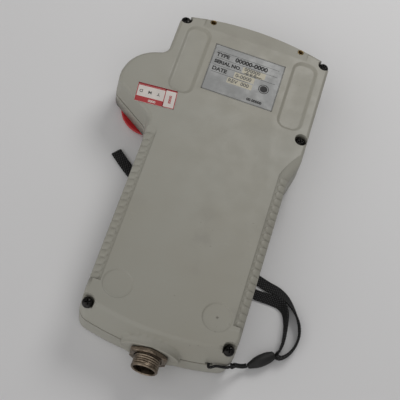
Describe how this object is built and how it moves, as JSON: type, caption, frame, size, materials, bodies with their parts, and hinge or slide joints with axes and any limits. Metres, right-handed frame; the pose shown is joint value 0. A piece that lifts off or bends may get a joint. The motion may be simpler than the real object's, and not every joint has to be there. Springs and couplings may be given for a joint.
{
  "type": "handheld teach pendant",
  "caption": "Two-shell handheld control pendant lying face down, with a side lobe carrying a red stop button, a ribbed grip, keypad, round threaded connector and wrist strap.",
  "frame": {"origin": "on the front rest face, on the centre line, on the bar between display and keypad", "axes": "+Y from the cable end to the display end, +Z out of the back, +X to the right seen from the back"},
  "size_m": [0.1739, 0.2644, 0.0382],
  "materials": {
    "housing": "fine texture, warm grey, lightly soiled",
    "grey_plastic": "satin light grey",
    "blue_plastic": "satin dark blue",
    "red_plastic": "semi-gloss red",
    "black_plastic": "satin black",
    "black_screw": "black oxide",
    "brass": "machined, slightly tarnished",
    "nickel": "worn nickel plate, brownish",
    "steel": "bright steel",
    "rubber": "matt black",
    "board": "green laminate",
    "lens": "clear polycarbonate",
    "plate": "printed foil",
    "sticker": "printed film, red and white",
    "strap": "woven black"
  },
  "bodies": {
    "housing": {"rear_housing": "housing", "front_housing": "housing", "housing_seal": "rubber", "display_window": "lens", "lcd_module": "black_plastic", "key_mat": "rubber", "key_board": "board", "main_board": "board", "ribbon_cable": "grey_plastic", "wire_harness": "black_plastic", "stop_button_collar": "black_plastic", "stop_button_locknut": "steel", "stop_button_spring": "steel", "stop_contact_block": "black_plastic", "rating_plate": "plate", "inspection_sticker": "sticker", "connector_shell": "nickel", "connector_nut": "nickel", "connector_washer": "rubber", "connector_insert": "black_plastic", "strap_cord": "strap", "strap_lead": "strap", "strap_knot": "strap", "strap_joiner": "black_plastic", "strap_webbing": "strap", "hanger_insert_left": "brass", "hanger_insert_right": "brass", "case_screw_top_left": "black_screw", "case_insert_top_left": "brass", "case_screw_top_right": "black_screw", "case_insert_top_right": "brass", "case_screw_side": "black_screw", "case_insert_side": "brass", "case_screw_end_left": "black_screw", "case_insert_end_left": "brass", "case_screw_end_right": "black_screw", "case_insert_end_right": "brass"},
    "key_1_1_body": {"key_1_1": "grey_plastic"},
    "key_1_2_body": {"key_1_2": "grey_plastic"},
    "key_1_3_body": {"key_1_3": "grey_plastic"},
    "key_1_4_body": {"key_1_4": "grey_plastic"},
    "key_2_1_body": {"key_2_1": "grey_plastic"},
    "key_2_2_body": {"key_2_2": "grey_plastic"},
    "key_2_3_body": {"key_2_3": "grey_plastic"},
    "key_2_4_body": {"key_2_4": "grey_plastic"},
    "key_3_1_body": {"key_3_1": "grey_plastic"},
    "key_3_2_body": {"key_3_2": "grey_plastic"},
    "key_3_3_body": {"key_3_3": "grey_plastic"},
    "key_3_4_body": {"key_3_4": "grey_plastic"},
    "key_4_1_body": {"key_4_1": "grey_plastic"},
    "key_4_2_body": {"key_4_2": "grey_plastic"},
    "key_4_3_body": {"key_4_3": "grey_plastic"},
    "key_4_4_body": {"key_4_4": "grey_plastic"},
    "function_key_1_body": {"function_key_1": "blue_plastic"},
    "function_key_2_body": {"function_key_2": "blue_plastic"},
    "function_key_3_body": {"function_key_3": "blue_plastic"},
    "stop_slider": {"stop_button_plunger": "black_plastic"},
    "stop_knob": {"stop_button_head": "red_plastic"}
  },
  "joints": [
    {"name": "key_1_1_press", "type": "slide", "parent": "housing", "child": "key_1_1_body", "axis": [0, 0, 1], "range_m": [0, 0.001], "stiffness_N_per_m": 1500},
    {"name": "key_1_2_press", "type": "slide", "parent": "housing", "child": "key_1_2_body", "axis": [0, 0, 1], "range_m": [0, 0.001], "stiffness_N_per_m": 1500},
    {"name": "key_1_3_press", "type": "slide", "parent": "housing", "child": "key_1_3_body", "axis": [0, 0, 1], "range_m": [0, 0.001], "stiffness_N_per_m": 1500},
    {"name": "key_1_4_press", "type": "slide", "parent": "housing", "child": "key_1_4_body", "axis": [0, 0, 1], "range_m": [0, 0.001], "stiffness_N_per_m": 1500},
    {"name": "key_2_1_press", "type": "slide", "parent": "housing", "child": "key_2_1_body", "axis": [0, 0, 1], "range_m": [0, 0.001], "stiffness_N_per_m": 1500},
    {"name": "key_2_2_press", "type": "slide", "parent": "housing", "child": "key_2_2_body", "axis": [0, 0, 1], "range_m": [0, 0.001], "stiffness_N_per_m": 1500},
    {"name": "key_2_3_press", "type": "slide", "parent": "housing", "child": "key_2_3_body", "axis": [0, 0, 1], "range_m": [0, 0.001], "stiffness_N_per_m": 1500},
    {"name": "key_2_4_press", "type": "slide", "parent": "housing", "child": "key_2_4_body", "axis": [0, 0, 1], "range_m": [0, 0.001], "stiffness_N_per_m": 1500},
    {"name": "key_3_1_press", "type": "slide", "parent": "housing", "child": "key_3_1_body", "axis": [0, 0, 1], "range_m": [0, 0.001], "stiffness_N_per_m": 1500},
    {"name": "key_3_2_press", "type": "slide", "parent": "housing", "child": "key_3_2_body", "axis": [0, 0, 1], "range_m": [0, 0.001], "stiffness_N_per_m": 1500},
    {"name": "key_3_3_press", "type": "slide", "parent": "housing", "child": "key_3_3_body", "axis": [0, 0, 1], "range_m": [0, 0.001], "stiffness_N_per_m": 1500},
    {"name": "key_3_4_press", "type": "slide", "parent": "housing", "child": "key_3_4_body", "axis": [0, 0, 1], "range_m": [0, 0.001], "stiffness_N_per_m": 1500},
    {"name": "key_4_1_press", "type": "slide", "parent": "housing", "child": "key_4_1_body", "axis": [0, 0, 1], "range_m": [0, 0.001], "stiffness_N_per_m": 1500},
    {"name": "key_4_2_press", "type": "slide", "parent": "housing", "child": "key_4_2_body", "axis": [0, 0, 1], "range_m": [0, 0.001], "stiffness_N_per_m": 1500},
    {"name": "key_4_3_press", "type": "slide", "parent": "housing", "child": "key_4_3_body", "axis": [0, 0, 1], "range_m": [0, 0.001], "stiffness_N_per_m": 1500},
    {"name": "key_4_4_press", "type": "slide", "parent": "housing", "child": "key_4_4_body", "axis": [0, 0, 1], "range_m": [0, 0.001], "stiffness_N_per_m": 1500},
    {"name": "function_key_1_press", "type": "slide", "parent": "housing", "child": "function_key_1_body", "axis": [0, 0, 1], "range_m": [0, 0.001], "stiffness_N_per_m": 1500},
    {"name": "function_key_2_press", "type": "slide", "parent": "housing", "child": "function_key_2_body", "axis": [0, 0, 1], "range_m": [0, 0.001], "stiffness_N_per_m": 1500},
    {"name": "function_key_3_press", "type": "slide", "parent": "housing", "child": "function_key_3_body", "axis": [0, 0, 1], "range_m": [0, 0.001], "stiffness_N_per_m": 1500},
    {"name": "stop_press", "type": "slide", "parent": "housing", "child": "stop_slider", "axis": [0, 0, 1], "range_m": [0, 0.003], "stiffness_N_per_m": 2500, "deforming": ["stop_button_spring"]},
    {"name": "stop_twist_release", "type": "hinge", "parent": "stop_slider", "child": "stop_knob", "pos_m": [-0.0565, 0.0373, 0.007], "axis": [0, 0, 1], "range_deg": [0, 45], "stiffness_Nm_per_rad": 0.05}
  ]
}
